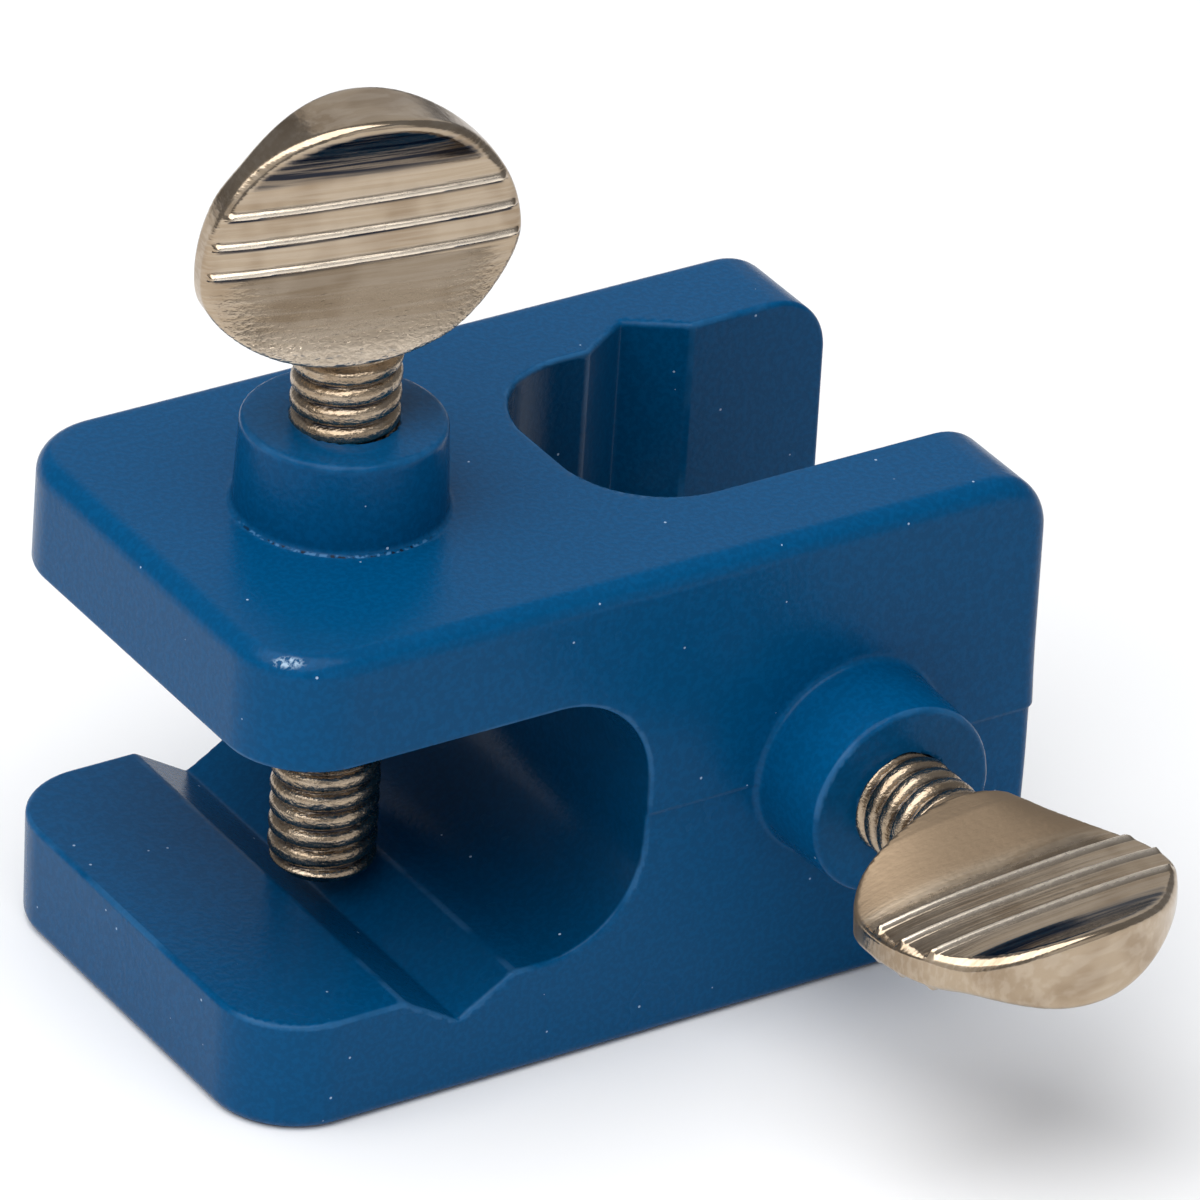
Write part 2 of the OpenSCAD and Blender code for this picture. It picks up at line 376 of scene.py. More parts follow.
def make_casting(s, material):
    """The casting, on grid lines that lie closer together at its edges. It carries
    two masks: one along the outward edges, less at the parting line, where the paint
    is lightened as rubbed paint and as a painted edge highlight, and deep, for the
    walls far inside a jaw, which are darkened as painted shade."""
    field, depth = casting_field(s)
    mm = in_millimetres(s)
    half, side, gap = HALF_LENGTH / MM, SIDE / MM, mm["jaw_gap"]
    boss_top = side / 2 + mm["boss_height"]
    seat, groove, back = half - mm["seat_from_mouth"], mm["groove_width"] / 2, half - mm["jaw_depth"]
    coarse, fine = 0.45, 0.165
    rounding, at_edge, at_lip, margin = 1.6, 0.4, 0.5, 0.6
    past_low, past_high = 0.2, 0.3
    along = [
        (-half, past_low, rounding), (half, rounding, past_high),
        (-back, at_edge, at_edge), (back, at_edge, at_edge)]
    along += [(m * seat + d, at_edge, at_edge) for m in (-1, 1) for d in (-groove, 0, groove)]
    body = [
        (-side / 2, margin, rounding), (side / 2, rounding, past_high),
        (-gap / 2, margin, at_lip), (gap / 2, at_lip, margin)]
    across = body + [(-boss_top, past_low, at_lip)]
    upright = [(place + side / 2, below, above) for place, below, above in body]
    upright += [
        (side, past_low, margin), (side / 2 + boss_top, at_lip, past_low),
        (mm["parting_z"], at_edge, at_edge)]
    # The grid starts a little off the round numbers, so that no line lies in a face.
    lines = (
        grid_lines(-half - 0.63, half + margin, coarse, fine, along),
        grid_lines(-boss_top - 0.61, side / 2 + margin, coarse, fine, across),
        grid_lines(-0.59, side / 2 + boss_top + margin, coarse, fine, upright))
    points, faces = net_surface(field, lines)
    # The edge mask lightens the paint, both as rubbed paint and as a painted edge highlight.
    line_half, wear_reach, wear_from, wear_to = 0.5, 0.25, 0.5, 2.2
    off_parting = 1 - np.exp(-((points[:, 2] - mm["parting_z"]) / line_half) ** 2)
    edge_wear_and_sheen = ease(edge_sharpness(field, points, wear_reach), wear_from, wear_to) * off_parting
    # Painted shade: this mask darkens the paint on the walls far inside a jaw.
    deep_from, deep_to = 9, 22
    deep = ease(depth(*points.T), deep_from, deep_to)
    return make_piece(
        "casting", points, faces.tolist(), slope(field, points, 0.02), material,
        {"edge_wear_and_sheen": ("FLOAT", edge_wear_and_sheen), "deep": ("FLOAT", deep)})


# ---- the thumb screws ----

def shank_surface(mm, tip_z, head_z):
    """The shank: radius as a function of the turn and the height. The crest
    climbs one pitch each turn; across a pitch the radius follows a cubic, broad
    at the crest and sharp in the valley; it narrows at the tip and to a plain
    neck under the head. Its last value is how dark each point is painted, most
    in the valleys, for soil and for painted shade."""
    around, per_mm, into_head = 96, 12, 1
    neck_from, neck_full, tip_chamfer = 0.75, 0.35, 0.62
    rows = int((head_z - tip_z) * per_mm)
    height = np.linspace(tip_z, head_z + into_head, rows)[:, None]
    ring = np.arange(around)
    turn = ring[None, :] * 2 * np.pi / around
    phase = (height / mm["pitch"] - turn / (2 * np.pi)) % 1
    from_valley = np.abs(2 * phase - 1)
    arc = 1 - (1 - from_valley) ** 3
    crest = mm["thread_d"] / 2
    threaded = crest - mm["thread_depth"] * (1 - arc)
    into_neck = ease(height, head_z - neck_from, head_z - neck_full)
    r = threaded * (1 - into_neck) + mm["neck_d"] / 2 * into_neck
    r = np.minimum(r, crest - tip_chamfer + (height - tip_z))
    points = np.stack((r * np.cos(turn), r * np.sin(turn), height + 0 * r), -1)
    row = np.arange(rows - 1)[:, None] * around
    corner, beside = row + ring[None, :], row + (ring[None, :] + 1) % around
    faces = np.stack((corner, beside, beside + around, corner + around), -1).reshape(-1, 4)
    ahead = np.roll(points, -1, 1) - np.roll(points, 1, 1)
    normals = np.cross(ahead, np.gradient(points, axis=0)).reshape(-1, 3)
    points = points.reshape(-1, 3)
    first, last, top = len(points), len(points) + 1, (rows - 1) * around
    lid_low = np.stack((np.full(around, first), (ring + 1) % around, ring), -1)
    lid_high = np.stack((np.full(around, last), top + ring, top + (ring + 1) % around), -1)
    points = np.concatenate((points, [[0, 0, tip_z], [0, 0, head_z + into_head]]))
    normals = np.concatenate((normals, [[0, 0, -1], [0, 0, 1]]))
    # Painted shade as well as soil: the valleys are painted dark, most at their bottoms.
    grime_and_shade = np.append(((1 - arc) ** 1.5 * (1 - into_neck)).ravel(), [0, 0])
    return points, faces.tolist() + lid_low.tolist() + lid_high.tolist(), normals, grime_and_shade


def head_field(mm, head, foot_z):
    """The head's distance function: an oval prism, made of two half ellipses that
    share the widest line, within a side profile whose half thickness falls from
    the foot to the waist, carries three ridges and swells through a cove to the
    crown; the rim is rounded, and a short neck is blended in below. A head with a
    flank is cut straight on that side and flares out of the thread below."""
    widest = foot_z + mm["head_low"]
    crown = widest + mm["head_high"]
    cove = crown - mm["cove_height"]
    ridge_start = 0.2
    first_ridge = widest + ridge_start * mm["ridge_pitch"]
    last_ridge = first_ridge + (RIDGES - 1) * mm["ridge_pitch"]
    wide, crest_r, flank = mm["head_width"] / 2, mm["thread_d"] / 2, head["flank"]
    foot, waist, crown_half = mm["foot_thick"] / 2, mm["waist_thick"] / 2, mm["crown_thick"] / 2

    def half_thickness(w, z):
        """Straight from foot to waist, then a power curve up the cove, and all of it
        thinning with the cube of the way out to the ends of the oval."""
        end_half, end_power, cove_power, past_crown = 0.8, 3, 2.2, 1.02
        foot_below, foot_above, foot_taper, under_ridge = 0.5, 1.2, 0.35, 0.45
        heights = [foot_z - foot_below, foot_z + foot_above, first_ridge - under_ridge]
        lower = np.interp(z, heights, [foot, foot - foot_taper, waist])
        into_cove = np.clip((z - cove) / mm["cove_height"], 0, past_crown)
        middle = lower + (crown_half - waist) * into_cove ** cove_power
        reach = wide
        if flank:
            at_foot, widening, least = 5.4, 0.73, 3.5
            flank_reach = np.clip(at_foot + widening * (z - foot_z), least, wide)
            reach = np.where(flank * w > 0, flank_reach, wide)
        return end_half + (middle - end_half) * (1 - np.clip(np.abs(w) / reach, 0, 1) ** end_power)

    def ridges(z):
        """How far the ridges stand out: a steep lower side, a bead along the crest
        and a land that falls away to the next ridge."""
        steep_from, steep_to, bead_to = -0.28, -0.08, 0.32
        land_from, land_gap, bead_share = 0.1, 0.35, 0.55
        total = 0
        for k in range(RIDGES):
            up = z - first_ridge - k * mm["ridge_pitch"]
            land = 1 - np.clip((up + land_from) / (mm["ridge_pitch"] - land_gap), 0, 1)
            bead = 1 - ease(up, 0.0, bead_to)
            rise = bead_share * bead + (1 - bead_share) * land
            total = total + mm["ridge_height"] * ease(up, steep_from, steep_to) * rise
        return total

    def ridge_marks(points):
        """Two masks, neither reaching the rim: a painted highlight along each ridge's
        crest, standing also for a crest rubbed bright, and painted shade in the crease
        under it, with a painted dark reflection in the cove."""
        inset_from, inset_full, below, above = -0.35, -0.75, 0.8, 0.6
        crest_at, crest_half, crease_shade_at, crease_shade_half = 0.02, 0.2, -0.36, 0.13
        shade_from, shade_full, shade_most = 0.9, 2.1, 0.8
        w, n, z = points.T
        inset = ease(field(w, 0 * n, z), inset_from, inset_full)
        z = z - head["ridge_slope"] * (w - head["off_axis"])
        up = (z - first_ridge + 1) % mm["ridge_pitch"] - 1
        on = (z > first_ridge - below) & (z < last_ridge + above)
        on = on * inset
        # Painted dark reflection: the cove under the crown is painted dark, fading in above the last ridge.
        shade = shade_most * inset * ease(z, last_ridge + shade_from, last_ridge + shade_full)
        # Painted highlight along each crest, standing also for a crest rubbed bright; then painted shade in
        # the crease under each ridge.
        polish_and_highlight = on * np.exp(-((up - crest_at) / crest_half) ** 2)
        return polish_and_highlight, on * np.exp(-((up - crease_shade_at) / crease_shade_half) ** 2) + shade

    def oval(w, z):
        """Distance to the tilted oval, near enough close to its outline."""
        across = w * math.cos(mm["outline_tilt"]) + (z - widest) * math.sin(mm["outline_tilt"])
        up = (z - widest) * math.cos(mm["outline_tilt"]) - w * math.sin(mm["outline_tilt"])
        tall = np.where(up > 0, mm["head_high"], mm["head_low"])
        k0 = np.hypot(across / wide, up / tall)
        k1 = np.maximum(np.hypot(across / wide ** 2, up / tall ** 2), 1e-6)
        return k0 * (k0 - 1) / k1

    def flanked(outline, w, z):
        """The outline cut straight on the flank's side, with a strip as wide as the
        thread joined to it below."""
        cut_out, cut_up, cut_across, cut_drop, cut_r = 3.7, 0.7, 0.807, 0.59, 2.0
        strip_in, strip_low, strip_r = 0.35, 0.6, 2.2
        cut = (flank * w - cut_out) * cut_across - (z - foot_z + cut_up) * cut_drop
        outline = round_max(outline, cut, cut_r)
        strip = np.maximum(np.abs(w) - crest_r + strip_in, foot_z - strip_low - z)
        return round_min(outline, np.maximum(strip, z - widest), strip_r)

    def flared(plate, w, n, z):
        """The plate cut by a cone that opens upwards from the thread."""
        gap, flare, below, flare_r = 0.05, 2.5, 0.4, 0.6
        cone = np.hypot(w, n) - crest_r - gap - flare * np.maximum(z - foot_z + below, 0)
        return round_max(plate, cone, flare_r)

    def field(w, n, z):
        ridge_end, ridge_full, steepest = 0.1, 0.5, 0.9
        least_rim, more_rim, rim_below, rim_above = 0.75, 1.35, 0.5, 2
        neck_in, neck_middle, neck_half, neck_r = 0.06, 0.5, 1, 0.5
        w = w - head["off_axis"]
        outline = flanked(oval(w, z), w, z) if flank else oval(w, z)
        grip = ridges(z - head["ridge_slope"] * w) * ease(-outline, ridge_end, ridge_full)
        sides = (np.abs(n) - half_thickness(w, z) - grip) * steepest
        rim = mm["rim_r"] * (least_rim + more_rim * ease(z, cove - rim_below, cove + rim_above))
        plate = round_max(outline, sides, rim)
        plate = flared(plate, w, n, z) if flank else plate
        neck_height = np.abs(z - foot_z + neck_middle) - neck_half
        neck = np.maximum(np.hypot(w, n) - mm["neck_d"] / 2 + neck_in, neck_height)
        return round_min(plate, neck, neck_r)

    return field, ridge_marks


def make_screw(name, s, head, axes, origin, tip_z, boss_face_z, turn, material):
    """One thumb screw: the shank and the head, each a closed shell, in one mesh. It
    carries its points before it is placed, and masks for soil with painted shade,
    for rubbed plate with painted highlights, for cast grain and for matte plate."""
    mm = in_millimetres(s)
    mm["head_high"] -= head["shorter"]
    mm["outline_tilt"] = -s.outline_tilt if head["flank"] else s.outline_tilt
    foot_z = boss_face_z + mm["thread_showing"]
    widest = foot_z + mm["head_low"]
    wide, thick = mm["head_width"] / 2, mm["foot_thick"] / 2
    coarse, coarse_through, fine, margin = 0.2, 0.22, 0.08, 0.6
    under_ridges, ridges_high = 0.4, 2.6 * mm["ridge_pitch"] + 0.5
    ridge_band = [(widest, under_ridges, ridges_high)]
    # The grid starts a little off the round numbers, so that no line lies in a face.
    lines = (
        grid_lines(-wide - 0.63, wide + margin, coarse),
        grid_lines(-thick - 0.61, thick + margin, coarse_through),
        grid_lines(foot_z - 1.6, widest + mm["head_high"] + 1, coarse, fine, ridge_band))
    field, ridge_marks = head_field(mm, head, foot_z)
    head_points, head_faces = net_surface(field, lines)
    points, faces, normals, grime_and_shade = shank_surface(mm, tip_z, foot_z)
    # The head's masks: a painted highlight along the crests, which also stand for rubbed crests, and painted
    # shade under the ridges with a painted dark reflection in the cove.
    crest, under = ridge_marks(head_points)
    face_below, face_above, foot_from, foot_to = 2, 0.2, 0.4, 2.8
    face = 1 - ease(head_points[:, 2], widest - face_below, widest + face_above)
    foot = 1 - ease(head_points[:, 2], foot_z + foot_from, foot_z + foot_to)
    shank_polish, shank_grain, shank_matte = 0, 0.9, 0.08
    shank = np.ones(len(points))
    polish_and_highlight = np.concatenate((shank_polish * shank, crest + head["foot_polish"] * foot))
    head_grain = face * (head["face_grain"] + head["foot_grain"] * foot)
    grain_mask = np.concatenate((shank_grain * shank, head_grain))
    matte = np.concatenate((shank_matte * shank, face * head["face_matte"]))
    grime_and_shade = np.concatenate((grime_and_shade, under))
    faces = faces + (head_faces + len(points)).tolist()
    local = np.concatenate((points, head_points))
    normals = np.concatenate((normals, slope(field, head_points, 0.01)))
    c, n = math.cos(turn), math.sin(turn)
    placed_axes = np.array([[c, n, 0], [-n, c, 0], [0, 0, 1]]) @ axes
    return make_piece(
        name, local @ placed_axes + origin, faces, normals @ placed_axes, material,
        {"along": ("FLOAT_VECTOR", local * MM), "grime_and_shade": ("FLOAT", grime_and_shade), "polish_and_highlight": ("FLOAT", polish_and_highlight),
         "cast": ("FLOAT", grain_mask), "matte": ("FLOAT", matte)})


# ---- finishes ----

def add(tree, kind, inputs=None, **settings):
    """A node in the tree, its settings made and each input given a value or a link."""
    made = tree.nodes.new(kind)
    for key, value in settings.items():
        setattr(made, key, value)
    for key, value in (inputs or {}).items():
        if isinstance(value, bpy.types.NodeSocket):
            tree.links.new(value, made.inputs[key])
        else:
            made.inputs[key].default_value = value
    return made


def maths(tree, operation, *values):
    """The output of a Math node."""
    return add(tree, "ShaderNodeMath", dict(enumerate(values)), operation=operation).outputs[0]


def product(tree, first, *others):
    """Values or masks multiplied together."""
    for other in others:
        first = maths(tree, "MULTIPLY", first, other)
    return first


def inverse(tree, mask):
    """A mask turned round: 1 where it was 0."""
    return maths(tree, "SUBTRACT", 1.0, mask)


def attribute(tree, name):
    """A mask that the piece carries."""
    return add(tree, "ShaderNodeAttribute", attribute_name=name).outputs["Fac"]


def fade(tree, value, low, high):
    """A mask: 0 where the value is at low, 1 where it is at high, smooth between."""
    made = add(tree, "ShaderNodeMapRange", {"Value": value, "From Min": low, "From Max": high},
               interpolation_type="SMOOTHSTEP")
    return made.outputs["Result"]


def blend_colour(tree, mask, first, second):
    """The first colour where the mask is 0, the second where it is 1."""
    made = add(tree, "ShaderNodeMix", data_type="RGBA")
    for index, value in ((0, mask), (6, first), (7, second)):
        if isinstance(value, bpy.types.NodeSocket):
            tree.links.new(value, made.inputs[index])
        else:
            made.inputs[index].default_value = value if index == 0 else (*value[:3], 1)
    return made.outputs[2]


def shaded(paint, factor):
    """A colour made lighter or darker by a factor."""
    return tuple(factor * channel for channel in paint)


def grain_group():
    """Fine grain on any finish: noise of a given size, as a height and as a mask."""
    tree = bpy.data.node_groups.new("fine grain", "ShaderNodeTree")
    tree.interface.new_socket("Vector", in_out="INPUT", socket_type="NodeSocketVector")
    tree.interface.new_socket("Scale", in_out="INPUT", socket_type="NodeSocketFloat")
    tree.interface.new_socket("Height", in_out="OUTPUT", socket_type="NodeSocketFloat")
    tree.interface.new_socket("Mask", in_out="OUTPUT", socket_type="NodeSocketFloat")
    into, out = add(tree, "NodeGroupInput"), add(tree, "NodeGroupOutput")
    noise = add(tree, "ShaderNodeTexNoise", {
        "Vector": into.outputs["Vector"], "Scale": into.outputs["Scale"],
        "Detail": 2.0, "Roughness": 0.55}).outputs[0]
    tree.links.new(noise, out.inputs["Height"])
    tree.links.new(fade(tree, noise, 0.42, 0.62), out.inputs["Mask"])
    return tree


def grain(tree, group, vector, scale):
    """The grain group in a material, at a given scale per metre."""
    made = add(tree, "ShaderNodeGroup", node_tree=group)
    tree.links.new(vector, made.inputs["Vector"])
    made.inputs["Scale"].default_value = scale
    return made


def new_material(name):
    """An empty material: its tree and its shader."""
    made = bpy.data.materials.new(name)
    made.use_nodes = True
    return made, made.node_tree, made.node_tree.nodes["Principled BSDF"]


def foot_ring(tree, spot, s):
    """Two masks on the ring round the foot of the upright boss: pin holes in the
    paint, and rubbed paint between them, both on the side towards the mouth."""
    ring_out, line_half, line_fade, top_half = 0.16 * MM, 0.03 * MM, 0.1 * MM, 0.5 * MM
    sideways, facing_from, facing_full = 1.4, -4 * MM, -8 * MM
    break_scale, rubbed_strength = 2600.0, 0.8
    axis = (HALF_LENGTH - s.seat_from_mouth, 0, -SIDE)
    from_axis = add(tree, "ShaderNodeMapping", {"Vector": spot, "Location": axis}, vector_type="POINT")
    x, y, up = add(tree, "ShaderNodeSeparateXYZ", {0: from_axis.outputs[0]}).outputs
    squares = maths(tree, "ADD", maths(tree, "POWER", x, 2.0), maths(tree, "POWER", y, 2.0))
    out = maths(tree, "SQRT", squares)
    off_ring = maths(tree, "ABSOLUTE", maths(tree, "SUBTRACT", out, s.boss_base_d / 2 + ring_out))
    on_top = maths(tree, "LESS_THAN", maths(tree, "ABSOLUTE", up), top_half)
    facing = fade(tree, maths(tree, "ADD", x, product(tree, y, sideways)), facing_from, facing_full)
    line = product(tree, on_top, inverse(tree, fade(tree, off_ring, line_half, line_fade)), facing)
    broken = add(tree, "ShaderNodeTexNoise", {
        "Vector": spot, "Scale": break_scale, "Detail": 1.0}).outputs[0]
    pitted = product(tree, line, fade(tree, broken, 0.56, 0.6))
    rubbed = product(tree, line, fade(tree, broken, 0.5, 0.4), rubbed_strength)
    return pitted, rubbed


def pale_corner_patch(tree, spot, peel):
    """A mask on a small patch of the upper edge, stretched along it, with a ragged
    outline and broken up by the orange peel."""
    place, size, turn = (-24.35 * MM, -13.4 * MM, 30.7 * MM), (1.35 * MM, 0.5 * MM, 0.5 * MM), -34
    ragged, patch_from, patch_to, strength = 1.2, 1.1, 1.6, 0.9
    corner = add(tree, "ShaderNodeMapping", {
        "Vector": spot, "Location": place, "Rotation": (0, 0, math.radians(turn)), "Scale": size},
        vector_type="TEXTURE").outputs[0]
    out = add(tree, "ShaderNodeVectorMath", {0: corner}, operation="LENGTH").outputs["Value"]
    out = maths(tree, "ADD", out, product(tree, peel.outputs["Height"], ragged))
    patch = inverse(tree, fade(tree, out, patch_from, patch_to))
    return product(tree, patch, product(tree, peel.outputs["Mask"], strength))


def paint_material(s, group):
    """Satin blue powder coat: orange peel, tiny pale specks, edges lightened as
    rubbed paint and as a painted highlight, one pale patch on a corner of the upper
    edge, a row of pin holes at the foot of the upright boss, and painted shade deep
    in the jaws."""
    peel_scale, patch_scale, speck_scale, speck_r = 3000, 220, 620.0, 0.05
    rubbed_strength, jaw_shade_strength, deep_shade = 0.32, 0.5, 0.2
    made, tree, shader = new_material("blue_paint")
    spot = add(tree, "ShaderNodeTexCoord").outputs["Object"]
    peel, patch = grain(tree, group, spot, peel_scale), grain(tree, group, spot, patch_scale)
    cells = add(tree, "ShaderNodeTexVoronoi", {"Vector": spot, "Scale": speck_scale})
    draw = add(tree, "ShaderNodeSeparateColor", {"Color": cells.outputs["Color"]}).outputs[0]
    near_centre = maths(tree, "LESS_THAN", cells.outputs["Distance"], speck_r)
    speck = product(tree, near_centre, fade(tree, draw, 0.5, 0.55))
    # Painted edge highlight as well as rubbed paint: the outward edges are painted a lighter blue.
    rubbed_and_lit_edge = fade(tree, attribute(tree, "edge_wear_and_sheen"), 0.45, 1.1)
    rubbed = product(tree, rubbed_and_lit_edge, product(tree, patch.outputs["Mask"], rubbed_strength))
    # Painted shade: the paint far inside a jaw is painted darker.
    deep = product(tree, attribute(tree, "deep"), jaw_shade_strength)
    pitted, rubbed_foot = foot_ring(tree, spot, s)
    base = blend_colour(tree, peel.outputs["Mask"], shaded(s.paint, 0.92), shaded(s.paint, 1.08))
    base = blend_colour(tree, rubbed, base, s.worn_and_sheen)
    base = blend_colour(tree, deep, base, shaded(s.paint, deep_shade))
    base = blend_colour(tree, speck, base, s.speck)
    base = blend_colour(tree, rubbed_foot, base, s.worn_and_sheen)
    base = blend_colour(tree, pitted, base, s.pit)
    # A lighter patch on one corner of the upper edge.
    base = blend_colour(tree, pale_corner_patch(tree, spot, peel), base, s.pale_patch)
    tree.links.new(base, shader.inputs["Base Color"])
    shader.inputs["IOR"].default_value = 1.45
    shader.inputs["Specular IOR Level"].default_value = 0.11
    rough = add(tree, "ShaderNodeMapRange", {
        "Value": patch.outputs["Height"], "To Min": 0.22, "To Max": 0.3})
    tree.links.new(rough.outputs[0], shader.inputs["Roughness"])
    bump = add(tree, "ShaderNodeBump", {
        "Height": peel.outputs["Height"], "Strength": 0.5, "Distance": 0.04 * MM})
    tree.links.new(bump.outputs[0], shader.inputs["Normal"])
    return made


def nickel_material(s, group):
    """Warm nickel plate: drawn lines along the ridges, a cast grain on the lower
    face of the head, patches that have dulled, pale crests that are rubbed bright and
    carry a painted highlight, and soiled valleys darkened further as painted shade,
    with painted shade under the ridges and a painted dark reflection in the cove."""
    fine_scale, patch_scale = 4200, 260
    line_stretch, sand_stretch = (0.03, 0.3, 1), (0.5, 1, 1)
    patch_strength, drawn_strength, least_grain = 0.75, 0.2, 0.08
    smooth, sand_rough, polish_rough = 0.1, 0.16, 0.12
    made, tree, shader = new_material("nickel")
    spot = add(tree, "ShaderNodeAttribute", attribute_name="along").outputs["Vector"]
    lines_at = add(tree, "ShaderNodeMapping", {"Vector": spot, "Scale": line_stretch}).outputs[0]
    sand_at = add(tree, "ShaderNodeMapping", {"Vector": spot, "Scale": sand_stretch}).outputs[0]
    lines, sand = grain(tree, group, lines_at, fine_scale), grain(tree, group, sand_at, fine_scale)
    patch = grain(tree, group, spot, patch_scale)
    matte, polish_and_highlight, grime_and_shade = (attribute(tree, name) for name in ("matte", "polish_and_highlight", "grime_and_shade"))
    blasted = fade(tree, matte, 0.1, 0.36)
    dull = maths(tree, "MAXIMUM", product(tree, patch.outputs["Mask"], patch_strength), blasted)
    drawn = product(tree, product(tree, lines.outputs["Mask"], drawn_strength), inverse(tree, blasted))
    uneven = maths(tree, "ADD", 0.75, product(tree, lines.outputs["Mask"], 0.5))
    # Painted shade as well as soil: the valleys, the creases under the ridges and the cove are painted dark.
    dirt_and_shade = fade(tree, product(tree, grime_and_shade, uneven), 0.1, 1.0)
    base = blend_colour(tree, dull, s.plating, s.tarnish)
    base = blend_colour(tree, drawn, base, s.drawn)
    # Painted highlight as well as rubbing: the crests are painted pale.
    base = blend_colour(tree, polish_and_highlight, base, s.polished_and_lit)
    base = blend_colour(tree, dirt_and_shade, base, s.grime_and_shade)
    tree.links.new(base, shader.inputs["Base Color"])
    shader.inputs["Metallic"].default_value = 1.0
    rough = maths(tree, "ADD", smooth, product(tree, sand.outputs["Height"], sand_rough))
    rough = maths(tree, "ADD", rough, product(tree, polish_and_highlight, polish_rough))
    tree.links.new(maths(tree, "ADD", rough, matte), shader.inputs["Roughness"])
    line_bump = add(tree, "ShaderNodeBump", {
        "Height": lines.outputs["Height"], "Strength": 0.35, "Distance": 0.05 * MM}).outputs[0]
    grain_mask = maths(tree, "ADD", least_grain, attribute(tree, "cast"))
    bump = add(tree, "ShaderNodeBump", {
        "Height": product(tree, sand.outputs["Height"], grain_mask), "Strength": 0.6,
        "Distance": 0.09 * MM, "Normal": line_bump})
    tree.links.new(bump.outputs[0], shader.inputs["Normal"])
    return made


def plain_material(name, rgb, roughness):
    """One colour and one roughness all over."""
    made, _, shader = new_material(name)
    shader.inputs["Base Color"].default_value = (*rgb, 1)
    shader.inputs["Roughness"].default_value = roughness
    return made


# ---- the stage ----

def make_floor(scene, s):
    """A flat square floor, far wider than the clamp."""
    reach, roughness = 3.0, 0.9
    corners = [(-reach, -reach, 0), (reach, -reach, 0), (reach, reach, 0), (-reach, reach, 0)]
    mesh = bpy.data.meshes.new("floor")
    mesh.from_pydata(corners, [], [(0, 1, 2, 3)])
    mesh.materials.append(plain_material("floor", s.floor, roughness))
    floor = bpy.data.objects.new("floor", mesh)
    scene.collection.objects.link(floor)
    return floor


def make_sky(scene, s):
    """Even light from all round."""
    world = bpy.data.worlds.new("studio")
    world.use_nodes = True
    background = world.node_tree.nodes["Background"]
    background.inputs["Color"].default_value = (*s.sky, 1)
    background.inputs["Strength"].default_value = s.sky_light
    scene.world = world


def make_lamps(scene, s):
    """Four soft lamps, each aimed at the casting's middle. A row is a name, a place
    and a size in metres, and a power in watts."""
    lamps = [
        ("overhead", (-0.3, -0.1, 0.8), (1.0, 1.1), 10.5),
        ("left strip", (-0.75, -0.3, 0.35), (0.5, 0.7), 0.5),
        ("front fill", (0.1, -0.95, 0.35), (1.0, 0.6), 0.9),
        ("back card", (0.49, 0.71, 0.51), (0.9, 0.7), 0.8)]
    for name, place, size, watts in lamps:
        light = bpy.data.lights.new(name, "AREA")
        light.shape, light.size, light.size_y = "RECTANGLE", size[0], size[1]
        light.energy = watts * s.light
        lamp = bpy.data.objects.new(name, light)
        aim = Vector((0, 0, SIDE / 2)) - Vector(place)
        turn = aim.to_track_quat("-Z", "Y").to_matrix().to_4x4()
        lamp.matrix_world = Matrix.Translation(place) @ turn
        scene.collection.objects.link(lamp)


def place_camera(scene, s):
    """The camera looks along a direction given by its turn and drop, rolled about
    it. It stands off a point in the casting, on the level screw's side of the
    middle, and aims a little to the left of that point and above it."""
    off_middle, aim_left, aim_up = 8.3 * MM, 2.2 * MM, 2.95 * MM
    ahead = Vector((math.sin(s.view_turn) * math.cos(s.view_drop),
                    math.cos(s.view_turn) * math.cos(s.view_drop), -math.sin(s.view_drop)))
    level = Vector((math.cos(s.view_turn), -math.sin(s.view_turn), 0))
    rise = level.cross(ahead)
    right = math.cos(s.view_roll) * level + math.sin(s.view_roll) * rise
    up = -math.sin(s.view_roll) * level + math.cos(s.view_roll) * rise
    target = Vector((off_middle, 0, SIDE / 2))
    place = target - s.distance * ahead
    ahead = (target - aim_left * right + aim_up * up - place).normalized()
    right = ahead.cross(up).normalized()
    up = right.cross(ahead)
    data = bpy.data.cameras.new("camera")
    data.lens, data.sensor_width = s.lens_mm, 36
    data.clip_start, data.clip_end = 0.01, 20
    camera = bpy.data.objects.new("camera", data)
    turn = Matrix((right, up, -ahead)).transposed().to_4x4()
    camera.matrix_world = Matrix.Translation(place) @ turn
    scene.collection.objects.link(camera)
    scene.camera = camera


# ---- operators ----

class MakeCasting(bpy.types.Operator):
    """Makes the painted casting in place of the plain one"""

    bl_idname = "boss_head.make_casting"
    bl_label = "Make casting"

    def execute(self, context):
        s = context.scene.boss_head_casting
        group = bpy.data.node_groups.get("fine grain") or grain_group()
        piece = make_casting(s, paint_material(s, group))
        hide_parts("clamp_body")
        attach(piece, "casting")
        return {"FINISHED"}


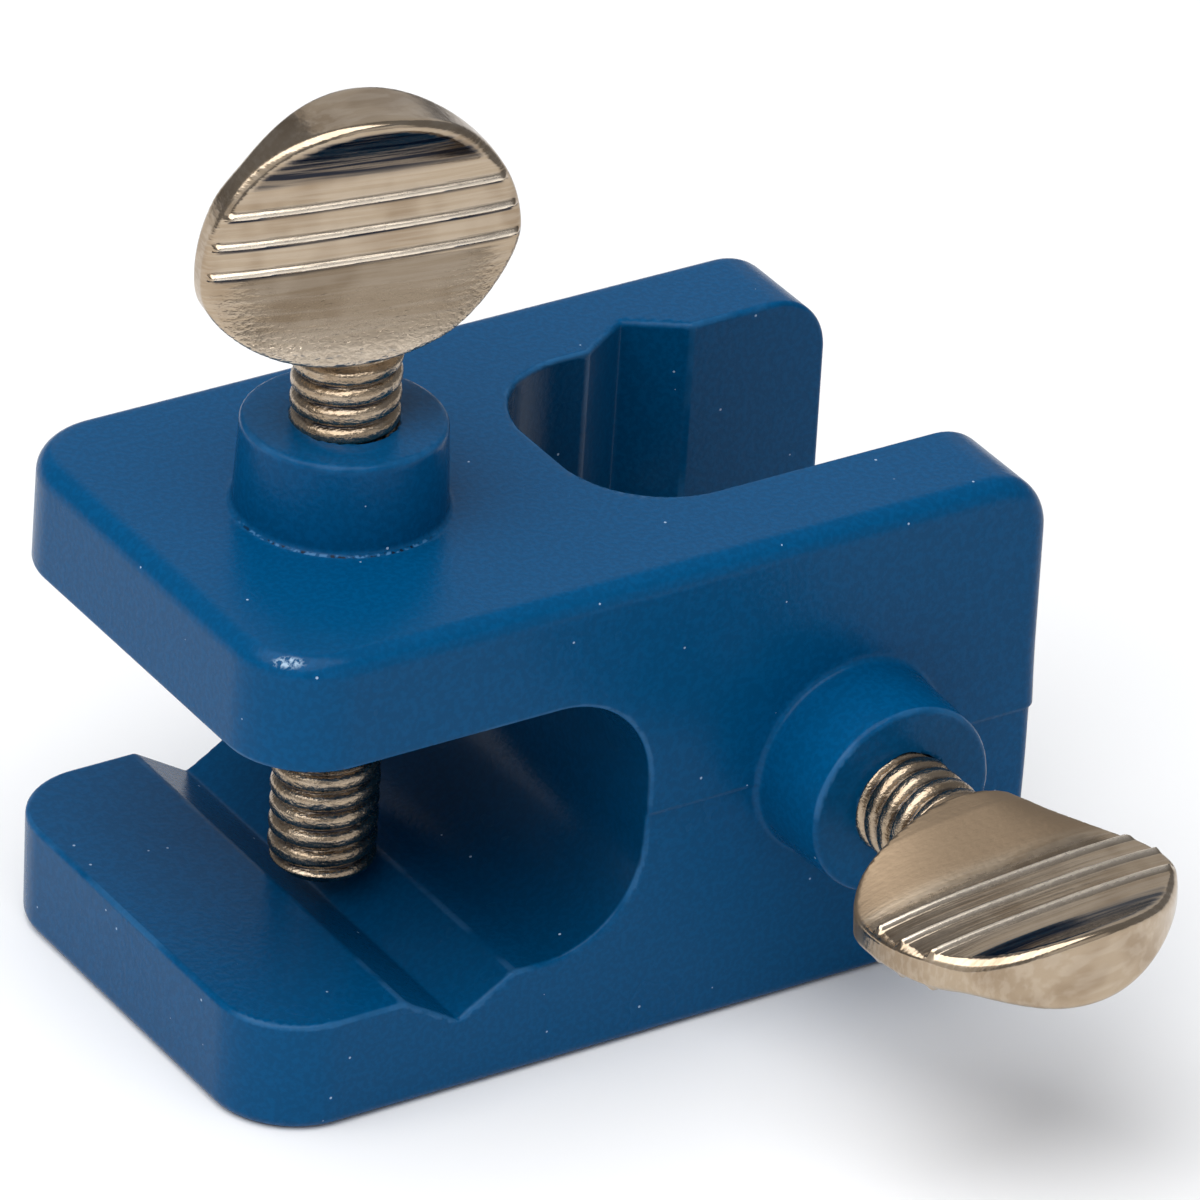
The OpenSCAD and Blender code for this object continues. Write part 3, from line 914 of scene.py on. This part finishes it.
class MakeScrews(bpy.types.Operator):
    """Makes the two nickel-plated thumb screws in place of the plain ones"""

    bl_idname = "boss_head.make_screws"
    bl_label = "Make thumb screws"

    def execute(self, context):
        s, casting = context.scene.boss_head_screws, context.scene.boss_head_casting
        group = bpy.data.node_groups.get("fine grain") or grain_group()
        side, half, seat = SIDE / MM, HALF_LENGTH / MM, casting.seat_from_mouth / MM
        floor = -casting.jaw_gap / 2 / MM
        boss_face = side / 2 + casting.boss_height / MM
        material = nickel_material(s, group)
        top_gap = TOP_SCREW_LOW[2] / MM - side / 2 - floor
        front_gap = -FRONT_SCREW_HIGH[1] / MM - floor
        top_origin = np.array([seat - half, 0, side / 2 + top_gap])
        front_origin = np.array([half - seat, -front_gap, side / 2])
        top = make_screw(
            "upright_screw", s, UPRIGHT_HEAD, TOP_JAW_AXES, top_origin,
            floor, boss_face, s.top_turn, material)
        front = make_screw(
            "level_screw", s, LEVEL_HEAD, FRONT_JAW_AXES, front_origin,
            floor, boss_face, s.front_turn, material)
        for piece, node, body in (
                (top, "top_thumbscrew", "top_screw"), (front, "front_thumbscrew", "front_screw")):
            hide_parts(node)
            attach(piece, body)
        return {"FINISHED"}


class MakeStage(bpy.types.Operator):
    """Makes the floor, the lamps and the camera"""

    bl_idname = "boss_head.make_stage"
    bl_label = "Make stage"

    def execute(self, context):
        s = context.scene.boss_head_stage
        make_floor(context.scene, s)
        make_sky(context.scene, s)
        make_lamps(context.scene, s)
        place_camera(context.scene, s)
        context.scene.view_settings.view_transform = "Standard"
        return {"FINISHED"}


class BossHeadPanel(bpy.types.Panel):
    """Lists the pieces and their settings"""

    bl_idname = "VIEW3D_PT_boss_head"
    bl_label = "Boss head clamp"
    bl_space_type = "VIEW_3D"
    bl_region_type = "UI"
    bl_category = "Boss head"

    def draw(self, context):
        groups = (
            (MakeCasting, context.scene.boss_head_casting),
            (MakeScrews, context.scene.boss_head_screws),
            (MakeStage, context.scene.boss_head_stage))
        for operator, settings in groups:
            box = self.layout.box()
            box.operator(operator.bl_idname)
            for key in type(settings).__annotations__:
                box.prop(settings, key)


CLASSES = (
    CastingSettings, ScrewSettings, StageSettings, MakeCasting, MakeScrews, MakeStage, BossHeadPanel)


def register():
    for item in CLASSES:
        bpy.utils.register_class(item)
    bpy.types.Scene.boss_head_casting = PointerProperty(type=CastingSettings)
    bpy.types.Scene.boss_head_screws = PointerProperty(type=ScrewSettings)
    bpy.types.Scene.boss_head_stage = PointerProperty(type=StageSettings)


def unregister():
    del bpy.types.Scene.boss_head_casting
    del bpy.types.Scene.boss_head_screws
    del bpy.types.Scene.boss_head_stage
    for item in reversed(CLASSES):
        bpy.utils.unregister_class(item)


def main():
    register()
    bpy.ops.boss_head.make_casting()
    bpy.ops.boss_head.make_screws()
    bpy.ops.boss_head.make_stage()


if __name__ == "__main__":
    main()
